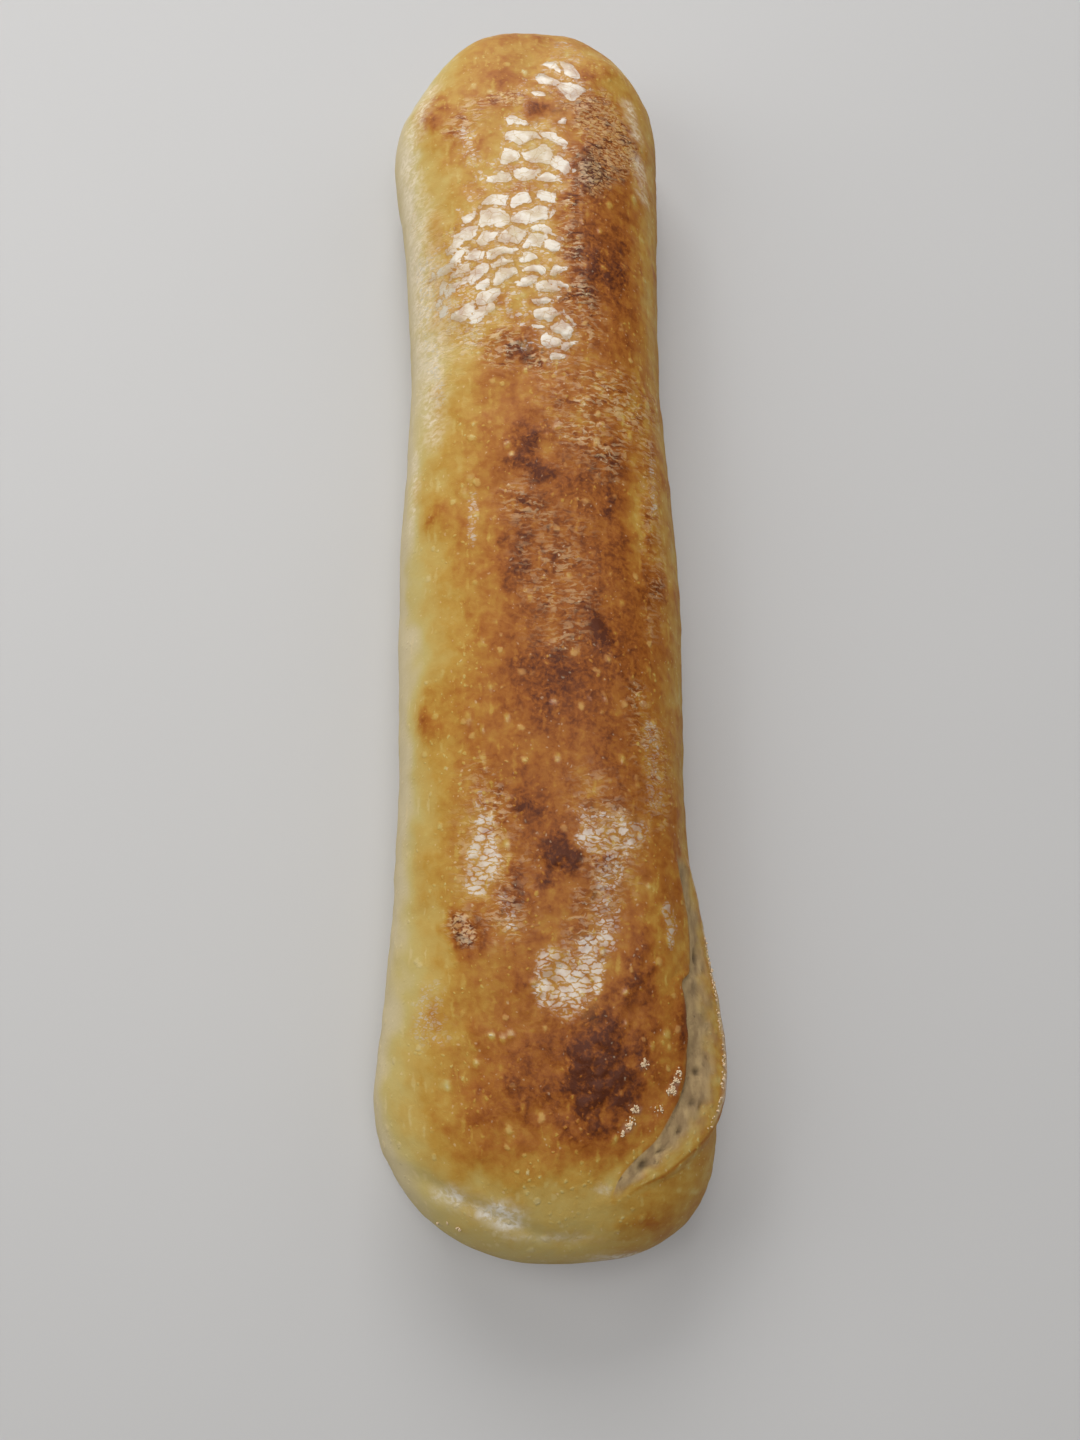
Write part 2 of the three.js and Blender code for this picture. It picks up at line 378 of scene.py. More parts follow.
# an angle added to this holds for each row
each_row = np.zeros(len(along))
angle = spread(each_row + UNDERSIDE_MIDDLE, [
    (each_row + RIGHT_FOOT, 6, "even"),
    (rim - RIM_WIDTH - LIP_FALL, 10, "even"),
    (rim - RIM_WIDTH, 10, "even"),
    (rim, 3, "even"),
    (crumb_foot, 20, "even"),
    (edge, 5, "even"),
    (edge + CURL_REACH, 9, "even"),
    (each_row + LEFT_SHOULDER, 100, "even"),
    (each_row + LEFT_FLANK, 40, "even"),
    (each_row + LEFT_FOOT, 6, "even"),
    (each_row + UNDERSIDE_MIDDLE + 360, 6, "even"),
])[:, :-1]
print(len(along), "rows of", angle.shape[1], "columns")


# %% The bare form
# stands in for lengths that vanish, as those at the tips do, so that nothing is divided by 0
TINY = 1e-6


def end_round(near_power, far_power):
    """For each row, 1 along the body and falling to 0 at each tip."""
    near = np.clip((near_tip + NEAR_ROUND - along) / NEAR_ROUND, 0, 1)
    far = np.clip((along - far_tip + FAR_ROUND) / FAR_ROUND, 0, 1)
    return (1 - near**near_power) ** (1 / near_power) * (1 - far**far_power) ** (1 / far_power)


def column(values):
    """One value for each row, laid out to be used against the whole net."""
    return values[:, None]


def bare_radius():
    """The ridge of each row, and the distance from the middle of the section to the crust."""
    left, right, ridge, height = between(BODY, along)
    ridge = ridge * end_round(RIDGE_END_POWER, RIDGE_END_POWER)
    crown = end_round(CROWN_END_POWER, CROWN_END_POWER)
    c, s = np.cos(np.radians(angle)), np.sin(np.radians(angle))
    leftward = column(left * end_round(*LEFT_END_POWERS) + ridge)
    rightward = column(right * end_round(*RIGHT_END_POWERS) - ridge)
    width = np.maximum(np.where(c < 0, leftward, rightward), TINY)
    rise = np.maximum(np.where(s < 0, UNDERSIDE_DEPTH, column(height - WIDEST_LEVEL)) * column(crown), TINY)
    power = np.where(s < 0, UNDERSIDE_POWER, CROWN_POWER)
    return ridge, (np.abs(c / width) ** power + np.abs(s / rise) ** power) ** (-1 / power)


def burst_push():
    """The burst: its torn edge curls up and drops to the crumb, which climbs out to the rim of the lip."""
    edge_at, foot_at, rim_at, deep, stand_out = (column(v) for v in (edge, crumb_foot, rim, depth, lip))
    curl = EDGE_CURL * np.clip(deep / EDGE_CURL, 0, 1)
    above = curl * (1 - ease(angle, edge_at, edge_at + CURL_REACH))
    wall = curl - (curl + deep) * (1 - ease(angle, foot_at, edge_at))
    climb = stand_out - (deep + stand_out) * np.clip((angle - rim_at) / (foot_at - rim_at), 0, 1)
    below = stand_out * ease(angle, rim_at - RIM_WIDTH - LIP_FALL, rim_at - RIM_WIDTH)
    return np.select([angle >= edge_at, angle >= foot_at, angle >= rim_at], [above, wall, climb], below)


def fold_push(across):
    """A shallow groove across the near end, above the widest level."""
    first, last = FOLD[0, 0], FOLD[-1, 0]
    fade = ease(across, first, first + FOLD_FADE) * (1 - ease(across, last - FOLD_FADE, last))
    return -FOLD_DEPTH * fade * bell(column(along) - between(FOLD, across)[0], FOLD_WIDTH)


ridge, radius = bare_radius()
swell = sum(
    rise * bell(column(along) - y, reach) * bell(angle - middle, wide)
    for y, middle, reach, wide, rise in SWELLS
)
plain_across = column(ridge) + radius * np.cos(np.radians(angle))
fold = np.where((angle > 0) & (angle < 180), fold_push(plain_across), 0)
crown = column(end_round(CROWN_END_POWER, CROWN_END_POWER))
reach = radius + (swell + fold) * crown + burst_push()
form = np.stack([
    column(ridge) + reach * np.cos(np.radians(angle)),
    np.broadcast_to(column(along), angle.shape),
    np.maximum(WIDEST_LEVEL + reach * np.sin(np.radians(angle)), 0),
], axis=-1)
form[[0, -1]] = [[(0, near_tip, WIDEST_LEVEL)], [(0, far_tip, WIDEST_LEVEL)]]
print("form reaches", form.reshape(-1, 3).min(0).round(1), "to", form.reshape(-1, 3).max(0).round(1))

# %% [markdown]
# Every mark on the skin is placed by two measures: how far along the loaf it is, and how far across from
# the ridge, over the curve of the crust. The outward direction at each point of the net is needed too,
# because relief is pushed straight out of the crust.

# %% Places and directions on the skin
def section_arc():
    """For each point, its distance from the ridge over the crust in millimetres, positive to the right."""
    steps = np.linalg.norm(np.diff(form, axis=1), axis=-1)
    arc = np.concatenate([np.zeros((len(form), 1)), np.cumsum(steps, axis=1)], axis=1)
    top = [np.interp(90, row_angle, row_arc) for row_angle, row_arc in zip(angle, arc)]
    return column(np.array(top)) - arc


def outward(points):
    """The direction straight out of the crust at each point of the net."""
    along_step = np.gradient(points, axis=0)
    wrapped = np.concatenate([points[:, -1:], points, points[:, :1]], axis=1)
    round_step = wrapped[:, 2:] - wrapped[:, :-2]
    direction = np.cross(along_step, round_step)
    direction /= np.maximum(np.linalg.norm(direction, axis=-1, keepdims=True), TINY)
    direction[0], direction[-1] = (0, -1, 0), (0, 1, 0)
    return direction


across = section_arc()
lengthwise = np.broadcast_to(column(along), angle.shape)
out = outward(form)
top_side = ease(out[..., 2], 0.05, 0.55)
underside = form[..., 2] < 0.01
ends = np.clip(crown, 0, 1)
half_way = across[len(along) // 2]
print("crust reaches", half_way.min().round(), "to", half_way.max().round(), "mm")

# %% [markdown]
# Nothing on bread is even, so every mark is roughened by noise. Blender's mathutils.noise holds the same
# kinds of noise as the texture nodes: a soft fractal for mottling, and cells for blisters and pores. It is
# sampled here, point by point, wherever the noise has to move the mesh or place a mark. Marks are placed
# as soft ovals or as brush strokes, from what the baked loaf shows.

# %% Noise and marks over the skin
SEED_STEP = np.array([17.31, 5.77, 9.13])
# noise has a faint grain along its own axes, so these are turned away from the loaf's
TURN_ANGLES = (0.6, 0.9, 0.4)
TURN = np.array(Euler(TURN_ANGLES).to_matrix())
FRACTAL_INCREMENT, LACUNARITY = 1.0, 2.0
# a distance that stands for none near by
FAR_OFF = 9.0
# moves the middles of neighbouring cells far enough apart for each to draw its own chance
CHANCE_STEP = 7.7


def mottle(size, seed, octaves=3):
    """Soft noise about 0 over the crust, in patches of a size in millimetres: one, or x, y and z."""
    places = (form / np.asarray(size, float)) @ TURN + seed * SEED_STEP
    made = [
        noise.fractal(place, FRACTAL_INCREMENT, LACUNARITY, octaves, noise_basis="PERLIN_NEW")
        for place in places.reshape(-1, 3).tolist()
    ]
    return np.array(made).reshape(angle.shape)


def cells(size, seed, where):
    """Cells of about a size along x, y and z, inside where. Gives the distance from each cell's middle as a
    share of a cell, and a chance from 0 to 1 that is the same all over the cell."""
    places = form / np.asarray(size, float) + seed * SEED_STEP
    middle, chance = np.full(angle.shape, FAR_OFF), np.zeros(angle.shape)
    for (row, col), place in zip(np.argwhere(where).tolist(), places[where].tolist()):
        distances, middles = noise.voronoi(place)
        middle[row, col] = distances[0]
        chance[row, col] = noise.cell(middles[0] * CHANCE_STEP) * 0.5 + 0.5
    return middle, chance


def patch(marks, x, y):
    """Soft oval marks added up at places x and y: (across, along, half width, half length, strength)."""
    return sum(
        strength * bell(x - x0, wide) * bell(y - y0, tall)
        for x0, y0, wide, tall, strength in marks
    )


def strokes(drawn):
    """Distance from the nearest of some brush strokes, as a share of its half width there. Each stroke is a
    list of points (across, along, half width)."""
    nearest = np.full(angle.shape, FAR_OFF)
    for points in drawn:
        for (x0, y0, w0), (x1, y1, w1) in zip(points, points[1:]):
            dx, dy = x1 - x0, y1 - y0
            t = np.clip(((across - x0) * dx + (lengthwise - y0) * dy) / (dx * dx + dy * dy), 0, 1)
            gap = np.hypot(across - x0 - t * dx, lengthwise - y0 - t * dy)
            nearest = np.minimum(nearest, gap / (w0 + t * (w1 - w0)))
    return nearest


fine_mottle = mottle(5, 1)
coarse_mottle = mottle(14, 2)
streaks = mottle((2.6, 22, 2.6), 3)
print("mottling spreads by", fine_mottle.std().round(2), "about", fine_mottle.mean().round(2))

# %% [markdown]
# Browning. The oven's heat came from above and a little from the right: the top is brown and the right
# flank golden, while the left flank and the near end stayed pale yellow. The hot oven floor lent some gold
# to the foot and to the low faces of the ends. On top of that broad field lie scorch marks, where bubbles
# under the skin rose towards the heat. The browning is one number for each point, from 0 for pale dough to
# about 1 for scorched, and the material turns it into colour.

# %% Browning
# along, middle of the brown field, half width to the left, half width to the right, browning
BAKE = np.array([
    (-190, 0, 24, 24, 0.1),
    (-178, 0, 26, 24, 0.12),
    (-169, 0, 26, 26, 0.22),
    (-160, 0, 25, 26, 0.51),
    (-150, 2, 27, 27, 0.64),
    (-135, 3, 27, 28, 0.64),
    (-118, 4, 26, 28, 0.58),
    (-100, 4, 24, 30, 0.57),
    (-80, 4, 26, 30, 0.62),
    (-60, 6, 30, 26, 0.66),
    (-30, 10, 30, 20, 0.71),
    (0, 11, 30, 18, 0.71),
    (25, 8, 29, 18, 0.62),
    (45, 4, 25, 22, 0.56),
    (62, 12, 20, 16, 0.66),
    (85, 17, 14, 12, 0.76),
    (110, 17, 13, 13, 0.64),
    (130, 16, 16, 14, 0.5),
    (150, 4, 24, 26, 0.45),
    (168, 2, 28, 28, 0.39),
    (190, 0, 30, 30, 0.25),
])
# across, along, half width, half length, how much browner, or paler where it is below 0
SCORCHES = [
    (18, 158, 5, 5, 0.2),
    (10, 168, 6, 4, 0.14),
    (-8, 155, 6, 4, 0.2),
    (-20, 166, 8, 8, -0.05),
    (28, 158, 5, 9, -0.1),
    (28.7, 135, 3.4, 2, 0.4),
    (-32.5, 145.5, 5.6, 9, 0.48),
    (2.5, 142, 7.4, 5, 0.38),
    (15, 119, 5, 10, 0.28),
    (17, 79, 6, 9, 0.22),
    (-10, 56, 7, 8, 0.3),
    (-7, 23, 4.5, 6, 0.42),
    (-4, 15, 6, 3, 0.24),
    (14, 18, 8, 4, 0.14),
    (16, 5, 4, 8, 0.18),
    (-34, 6, 4, 6, 0.3),
    (-10, -10, 5, 8, 0.26),
    (12, -31, 4, 6, 0.3),
    (-2, -45, 9, 9, 0.16),
    (-35, -52, 3.5, 7, 0.3),
    (32, -14, 4, 6, 0.3),
    (-9, -79, 6, 4, 0.24),
    (0, -91, 4.2, 8, 0.44),
    (-23, -109, 4.5, 5, 0.44),
    (-11, -100, 4, 6, 0.26),
    (21, -118, 4, 9, 0.2),
    (12, -141, 8, 12, 0.56),
    (4, -150, 14, 6, 0.12),
    (23.5, 4, 3.2, 12, -0.36),
    (20, -183, 10, 6, 0.1),
    (26, -60, 3, 14, -0.16),
    (-2.5, 23.7, 2.4, 2.4, -0.3),
    (-4, 178, 12, 6, 0.1),
    (-23, 128, 9, 20, 0.16),
    (-30, 98, 8, 16, 0.06),
    (-18, 4, 9, 14, 0.06),
    (8, -21, 10, 8, -0.06),
    (-19, -126, 8, 9, -0.07),
]
# browning of the left shoulder, the right flank, a line along the foot, and the low faces of the ends
LEFT_BROWNING, RIGHT_BROWNING, FOOT_BROWNING, END_BROWNING = 0.28, 0.31, 0.3, 0.28
height = form[..., 2]
broad_mottle = mottle(16, 23)
left_flank = LEFT_BROWNING * ease(height + 5 * broad_mottle, 33, 49)
right_flank = RIGHT_BROWNING + 0.05 * ease(height, 20, 45) + 0.1 * mottle(12, 24)
flank = left_flank + (right_flank - left_flank) * ease(form[..., 0] - column(ridge), -15, 15)
flank += 0.05 * bell(lengthwise - near_tip, 20)
flank += ease(height, 24, 4) * (0.07 + 0.08 * mottle(20, 20))
flank += FOOT_BROWNING * bell(height - 2, 3) * np.clip(0.6 + mottle(7, 21), 0, 1)
middle, left_width, right_width, level = (column(v) for v in between(BAKE, along))
offset = across - middle
aside = np.abs(offset) / np.where(offset < 0, left_width, right_width)
field = flank + (level - flank) * (1 - ease(aside + 0.2 * coarse_mottle, 0.4, 1.55))
low_end_face = bell(ends, 0.75) * ease(height, 36, 14)
field += END_BROWNING * low_end_face * np.clip(0.6 + broad_mottle, 0, 1)
drift_across = 3 * mottle(8, 10)
drift_along = 3 * mottle(8, 11)
ragged = 1 + 0.5 * fine_mottle + 0.5 * mottle(2.2, 12, octaves=2)
scorch = patch(SCORCHES, across + drift_across, lengthwise + drift_along) * np.clip(ragged, 0.2, 1.8)
unevenness = 0.1 * coarse_mottle + 0.14 * fine_mottle + 0.05 * streaks
toast = field + scorch + unevenness * ease(field, 0.0, 0.4)
print("browning from", toast.min().round(2), "to", toast.max().round(2))

# %% [markdown]
# The glossy film. Where the dough stretched most, the skin is a shiny film that crackled into tiles, wider
# than they are long, with golden cracks between. They lie in rows across the loaf, like bricks laid by a
# careless hand, so they are worked out as bricks: a staggered grid whose middles are drawn a little out of
# line. Every point belongs to the nearest middle, and half way to the next one is a crack.

# %% Rows of tiles
# the draws repeat after so many rows and columns of bricks
DRAWS = 64
# how far a brick may be out of line, as a share of its width and of the pitch of its rows
JOG_ACROSS, JOG_ALONG = 0.4, 0.32


def bricks(x, y, seed):
    """Staggered cells at places x and y, counted in cells, each drawn a little out of line. Gives the
    distance from the cells beside, that from the rows above and below, and a chance from 0 to 1 that is the
    same all over a cell."""
    draw = np.random.default_rng(seed).uniform(-1, 1, (DRAWS, DRAWS, 3))
    row_step, col_step = (step.reshape(-1, 1, 1) for step in np.mgrid[-1:2, -2:3])
    row = np.floor(y).astype(int) + row_step
    col = np.floor(x).astype(int) + col_step
    jog = draw[row % DRAWS, col % DRAWS]
    middle_x = col + 0.5 + row % 2 / 2 + JOG_ACROSS * jog[..., 0]
    middle_y = row + 0.5 + JOG_ALONG * jog[..., 1]
    gap = np.hypot(x - middle_x, y - middle_y)
    nearest_cell = gap.argmin(axis=0)[None]

    def own(values):
        return np.take_along_axis(values, nearest_cell, 0)

    apart = np.hypot(middle_x - own(middle_x), middle_y - own(middle_y))
    border = np.where(apart > 0, (gap**2 - own(gap) ** 2) / np.maximum(2 * apart, TINY), np.inf)
    beside = np.where(row == own(row), border, np.inf).min(axis=0)
    above = np.where(row == own(row), np.inf, border).min(axis=0)
    return beside, above, own(jog[..., 2])[0] * 0.5 + 0.5


# %% [markdown]
# The left and right edge of the film at a few stations say where it lies, and a few notches break into it.
# The tiles and the gaps between their rows are large at the far end and shrink towards the middle of the
# loaf. The mesh carries each point's distance from the edge of its tile rather than a mask, because a
# distance stays smooth from vertex to vertex, so the material can cut a crisp edge between them.

# %% Glossy tiles
# along, left edge, right edge
FAR_FILM = np.array([
    (48, 1, 1),
    (54, -2, 6),
    (58, -3.5, 9),
    (63, -5, 6.5),
    (66, -28, 6),
    (72, -33, 5.5),
    (85, -34, 6),
    (93, -31, 6),
    (99, -27, 6.5),
    (106, -24, 6),
    (117, -18, 9.5),
    (125, -13, 10),
    (133, -8, 9.5),
    (142, -5, 10),
    (151, -2, 15),
    (163, 2, 15),
    (170, 5, 14),
    (176, 9, 10),
])
# across, along, half width, half length, strength
FILM_NOTCHES = [(-9.5, 70.5, 3.2, 5, 1), (2.5, 142, 6, 4, 1), (-8, 112, 8, 1.6, 0.6)]
TILE_WIDTH, FAR_TILE_WIDTH = 7.6, 10
TILE_PITCH, FAR_TILE_PITCH = 4.8, 8
SIDE_GAP, ROW_GAP, FAR_ROW_GAP = 0.2, 0.45, 1.2
TILE_SEED = 5
# tiles differ in size by up to so many millimetres, and those with the highest chances are missing
TILE_SHRINK, MISSING = 0.8, 0.94
FILM_BROWNING = 0.36
left_edge, right_edge = (column(v) for v in between(FAR_FILM, along))
from_ends = np.minimum(lengthwise - FAR_FILM[0, 0], FAR_FILM[-1, 0] - lengthwise)
from_sides = np.minimum(across - left_edge, right_edge - across)
inside_film = np.minimum(from_sides, from_ends) + 4 * fine_mottle + 5 * mottle(10, 16)
unbroken = 1 - np.clip(patch(FILM_NOTCHES, across, lengthwise), 0, 1)
film = ease(inside_film, -2.5, 2) * unbroken
glow = ease(inside_film, -4, 9) * unbroken
toast += 0.8 * glow * (FILM_BROWNING + 0.2 * fine_mottle + 0.15 * coarse_mottle - toast)
far_share = ease(along, 84, 130)
tile_width = column(TILE_WIDTH + (FAR_TILE_WIDTH - TILE_WIDTH) * far_share)
tile_pitch = column(TILE_PITCH + (FAR_TILE_PITCH - TILE_PITCH) * far_share)
row_gap = column(ROW_GAP + (FAR_ROW_GAP - ROW_GAP) * far_share)
arch = 0.012 * (across + 3) ** 2 + 1.6 * mottle(8, 15)
rows_along = column(np.cumsum(np.gradient(along) / tile_pitch[:, 0])) + arch / tile_pitch
tiles_across = (across + 1.6 * mottle(8, 4)) / tile_width
beside, above, tile_chance = bricks(tiles_across, rows_along, TILE_SEED)
tile_edge = np.minimum(beside * tile_width - SIDE_GAP, above * tile_pitch - row_gap)
tile_edge -= TILE_SHRINK * tile_chance**2 + FAR_OFF * (1 - film) + FAR_OFF * (tile_chance > MISSING)
print("film over", round(100 * (film > 0.5).mean(), 1), "% of the net")

# %% [markdown]
# Finer film. Near the burst, and in streaks along both shoulders, the same film crackled into tiles too
# fine for the mesh, so brush strokes only say where they lie; the material draws them. The skin round all
# the film is finely wrinkled across the loaf, and right of the far film it shrank to pebbled leather. In a
# few places along the edges a whitish sheen is painted into the colour: a painted highlight.

# %% Fine film and wrinkles
# each stroke: across, along, half width
NEAR_FILM = [
    [(-19.7, -75, 1.3), (-19.6, -77.5, 1.8)],
    [(-18.2, -82, 2.5), (-18.2, -83.5, 2.5)],
    [(-18.4, -87, 3.6), (-18.4, -91, 5.4), (-20, -97, 3.6)],
    [(8.4, -86.2, 4), (15, -86.8, 4.3), (21, -84.6, 3.4)],
    [(8, -113.5, 4), (12, -112, 3.6)],
    [(-1, -117, 5), (0, -122.5, 6.6), (2, -126, 4.6)],
    [(8, -117.5, 4.4), (9, -121, 4)],
    [(29.7, -103, 2.4), (31, -107.5, 2.4), (30.3, -112, 1.6)],
]
FAINT_FILM = [
    [(-42, 94, 3), (-38, 66, 4), (-33, 42, 3)],
    [(-36, 92, 5), (-31, 72, 8), (-24, 62, 6)],
    [(-22, 134, 4), (-20, 124, 4)],
    [(31, 28, 2), (30, 8, 2)],
    [(27, -56, 3), (27, -76, 4)],
    [(6, -80, 3.4), (14, -83.5, 5.4), (22, -83.5, 4.4)],
    [(14, -90, 6), (12.5, -99, 4), (12.5, -108, 4.5)],
    [(4, -117, 8), (4, -124, 7)],
    [(-32, -126, 6), (-31, -133, 6)],
    [(-22.5, 10, 1.6), (-23, -5, 1.6)],
    [(-14, -100, 2.5), (-11, -107, 2)],
]
WRINKLED = [
    [(-2, 52, 5), (4, 46, 9), (8, 36, 11), (12, 25, 10)],
    [(14, 43, 8), (24, 40, 9), (34, 40, 6)],
    [(-25, 66, 9), (-14, 58, 7)],
    [(-24, 136, 5), (-18, 143, 5)],
    [(10, 124, 4), (8, 104, 4), (7, 84, 4), (10, 62, 6)],
    [(-25, -107.5, 3.4), (-22.4, -110, 3.4)],
]
FAINTLY_WRINKLED = [
    [(-9, 7, 6), (-1, -3, 9), (2, -15, 10), (1, -30, 8)],
    [(23, -48, 4), (27, -62, 6), (27, -78, 6)],
    [(10, -74, 7), (15, -82, 9), (13, -98, 6), (8, -110, 6)],
    [(-20, -72, 6), (-18, -88, 10), (-14, -106, 7)],
    [(32, 42, 5), (28, 18, 4), (30, -8, 4), (28, -30, 3)],
    [(-40, 110, 6), (-36, 80, 8), (-34, 50, 7)],
]
LEATHERY = [
    [(8, 150, 4), (20, 142, 9), (27, 130, 9), (16, 116, 6)],
    [(-12, 146, 3), (-5, 147, 3)],
    [(-24.6, -107.5, 2.4), (-22.6, -110.5, 2.4)],
]
# strokes along the edges where a whitish sheen is painted: a painted highlight
SHEEN_STROKES = [
    [(-34, 158, 3), (-44, 130, 4), (-41, 90, 7), (-38, 60, 6), (-36, 30, 3)],
    [(31, 150, 2), (34, 139, 2.5)],
    [(34, 129, 2.5), (35, 117, 2.5)],
    [(-43, 28, 2), (-43.5, 4, 2)],
]
frayed = 0.4 * fine_mottle + 0.25 * coarse_mottle


def brushed(drawn, low, high, fray):
    """1 along some brush strokes, fading out between a low and a high share of their half width, frayed."""
    return (1 - ease(strokes(drawn) + fray * frayed, low, high)) * top_side


near_film = brushed(NEAR_FILM, 0.5, 1.3, 0.6)
film_fringe = 2 * np.minimum(film, 1 - film) * ease(across, 9, -12) * top_side
faint_film = 0.6 * brushed(FAINT_FILM, 0.3, 1.5, 1)
fine_film = np.maximum.reduce([near_film, faint_film, 0.8 * film_fringe, 0.5 * film])
leathery = brushed(LEATHERY, 0.5, 1.4, 1) * (1 - 0.7 * film)
wrinkled = np.maximum(brushed(WRINKLED, 0.3, 1.5, 1), 0.7 * brushed(FAINTLY_WRINKLED, 0.2, 1.6, 1))
wrinkled *= (1 - 0.5 * film) * (0.45 + 0.55 * ease(mottle(9, 18), -0.2, 0.2))
wrinkled = np.maximum(wrinkled, 0.8 * leathery)
painted_sheen = brushed(SHEEN_STROKES, 0.0, 2.0, 1.2)
wrinkle_ridges = np.clip(1 - 2.4 * np.abs(mottle((4, 1.7, 4), 8, octaves=2)), 0, 1)
toast += 0.5 * brushed(NEAR_FILM, 0.4, 1.7, 0.8) * (FILM_BROWNING - toast)
print("fine film over", round(100 * (fine_film > 0.5).mean(), 1), "% of the net")

# %% [markdown]
# Blisters. Steam raised hundreds of small ones all over the brown skin, paler than what lies round them.
# The larger ones move the mesh; the smallest are left to the material.

# %% Blisters
blister_middle, blister_chance = cells((5, 6, 5), 7, top_side > 0.02)
blister_size = 0.14 + 0.34 * blister_chance
blister = (1 - ease(blister_middle, 0.5 * blister_size, blister_size)) * (blister_chance < 0.5)
blister *= top_side * ease(field, 0.25, 0.5) * (1 - film)
print("blisters on", round(100 * (blister > 0.3).mean(), 1), "% of the net")

# %% [markdown]
# The burst. Its walls are already in the form. The lip's rim is crust still, baked golden, and turns into
# open crumb half way up to the torn edge. Here the crumb gets its pores and a few larger holes, painted
# darker as the shade in them, and a band of painted shadow close under the torn edge, and that edge is made
# ragged. Two measures place things in it: the share of the way up from the lip's rim to the torn edge, and
# how open the tear is.

# %% Burst
TEAR_START, TEAR_END, TEAR_FADE = -172, -88, 4
# across, along, half width, half length, strength
HOLES = [
    (42.9, -115, 0.8, 1.8, 1.4),
    (41.6, -122.7, 2.2, 2.4, 0.5),
    (38.9, -143, 1.3, 0.9, 1.1),
    (36.4, -150.2, 0.8, 0.7, 0.9),
    (39.1, -151.2, 0.8, 0.8, 0.9),
    (31.5, -156.6, 0.7, 0.7, 0.9),
    (26.4, -161, 0.7, 0.7, 0.9),
    (22.1, -164.4, 1.3, 1.3, 1.3),
]
tear_opens = ease(along, TEAR_START, TEAR_START + TEAR_FADE)
tear_closes = ease(along, TEAR_END, TEAR_END - TEAR_FADE)
open_tear = column(tear_opens * tear_closes)
up_share = np.clip((angle - column(rim)) / column(edge - rim), -1, 2)
crumb = open_tear * ease(up_share + 0.2 * fine_mottle, 0.12, 0.6) * (1 - ease(up_share, 0.96, 1.0))
pore_middle, pore_chance = cells((1.5, 2, 1.5), 9, crumb > 0.02)
pores = 0.5 * crumb * (1 - ease(pore_middle, 0.1, 0.42)) * (pore_chance > 0.72)
holes = np.clip(patch(HOLES, across + 0.5 * mottle(3, 19), lengthwise), 0, 1) * crumb
mm_from_edge = np.radians(angle - column(edge)) * radius
# a painted shadow in the crumb close under the torn edge
painted_edge_shade = 0.35 * crumb * bell(mm_from_edge, 3) * column(ease(along, -158, -136))
crumb_shade = np.maximum.reduce([pores, holes, painted_edge_shade])
torn_line = column(bell(along + 132, 16))
torn = torn_line * open_tear * bell(mm_from_edge - 0.3 * fine_mottle, 0.55) * (mm_from_edge > -0.8)
sear = 0.26 * bell(along + 134, 14) - 0.16 * bell(along + 161, 8)
seared = open_tear * bell(mm_from_edge - 1.5, 1.4) * column(sear)
mm_from_rim = np.radians(angle - column(rim)) * radius
lip_rim = open_tear * bell(mm_from_rim + 0.5 * fine_mottle, 0.8)
rim_line = open_tear * bell(mm_from_rim + 0.9 + 0.3 * fine_mottle, 0.7)
print("crumb on", round(100 * (crumb > 0.5).mean(), 2), "% of the net")

# %% Browning of the burst and the underside
LIP_BROWNING, RIM_BROWNING, UNDERSIDE_BROWNING = 0.29, 0.2, 0.5
toast += seared
lip_browning = LIP_BROWNING + 0.16 * fine_mottle + 0.14 * mottle(2, 17, octaves=2)
on_lip = open_tear * ease(up_share, -0.4, 0.1) * (1 - ease(up_share, 0.9, 1.0))
toast += on_lip * (lip_browning - toast)
toast += RIM_BROWNING * rim_line
toast = np.where(underside, UNDERSIDE_BROWNING + 0.2 * coarse_mottle, np.clip(toast, 0.0, 1.0))
print("browning of the top side is", toast[top_side > 0.5].mean().round(2), "on average")

# %% [markdown]
# Flour from the proving cloth clings where nothing rubbed it off: in the fold at the near end, on the rim
# of the lip, along the foot of the flanks and on the underside. In the fold it is smeared into soft
# patches, and low on the flanks it lies in thin drifts.

# %% Flour
# across, along, half width, half length, strength
FLOURED = [
    (-27.5, -170.8, 2.5, 1.6, 0.9),
    (-23.5, -172, 3, 1.8, 1.2),
    (-14.5, -174.8, 3.5, 2, 1),
    (-10.5, -176.5, 3.5, 2.4, 1.3),
    (12.6, -169.3, 1.1, 0.9, 0.9),
    (20, -187, 8, 1.2, 0.9),
    (0, -181, 10, 1.2, 0.35),
    (30, -146.8, 1, 1.2, 0.4),
    (31.6, -144.4, 0.7, 1, 0.3),
    (22.4, -140.8, 0.9, 0.9, 0.25),
    (20, -151, 0.8, 0.8, 0.3),
    (18.4, -155, 1, 0.9, 0.4),
]
foot = 1 - ease(height, 1.0, 8 + 6 * coarse_mottle)
smear_across = across + 1.5 * mottle(4, 13)
smear_along = lengthwise + 1.2 * mottle(4, 14)
floured = patch(FLOURED, smear_across, smear_along) * (1 + 0.8 * fine_mottle)
rim_flour = 0.6 * lip_rim * column(ease(along, -158, -148))
drifts = 0.35 * ease(mottle((26, 34, 9), 22), 0.0, 0.5) * ease(height, 24, 10)
flour = np.maximum.reduce([np.clip(floured, 0, 1), 0.4 * foot, drifts, rim_flour])
flour = np.where(underside, 0.45 + 0.3 * coarse_mottle, flour)
print("flour on", round(100 * (flour > 0.3).mean(), 1), "% of the net")

# %% [markdown]
# All relief is added up in millimetres and pushed straight out of the crust: slow lumps of the dough, the
# rise of each scorched bubble, tiles, blisters, wrinkles, and the pits of the crumb. It fades out at the
# two tips, where the columns meet, and stays off the flat underside.

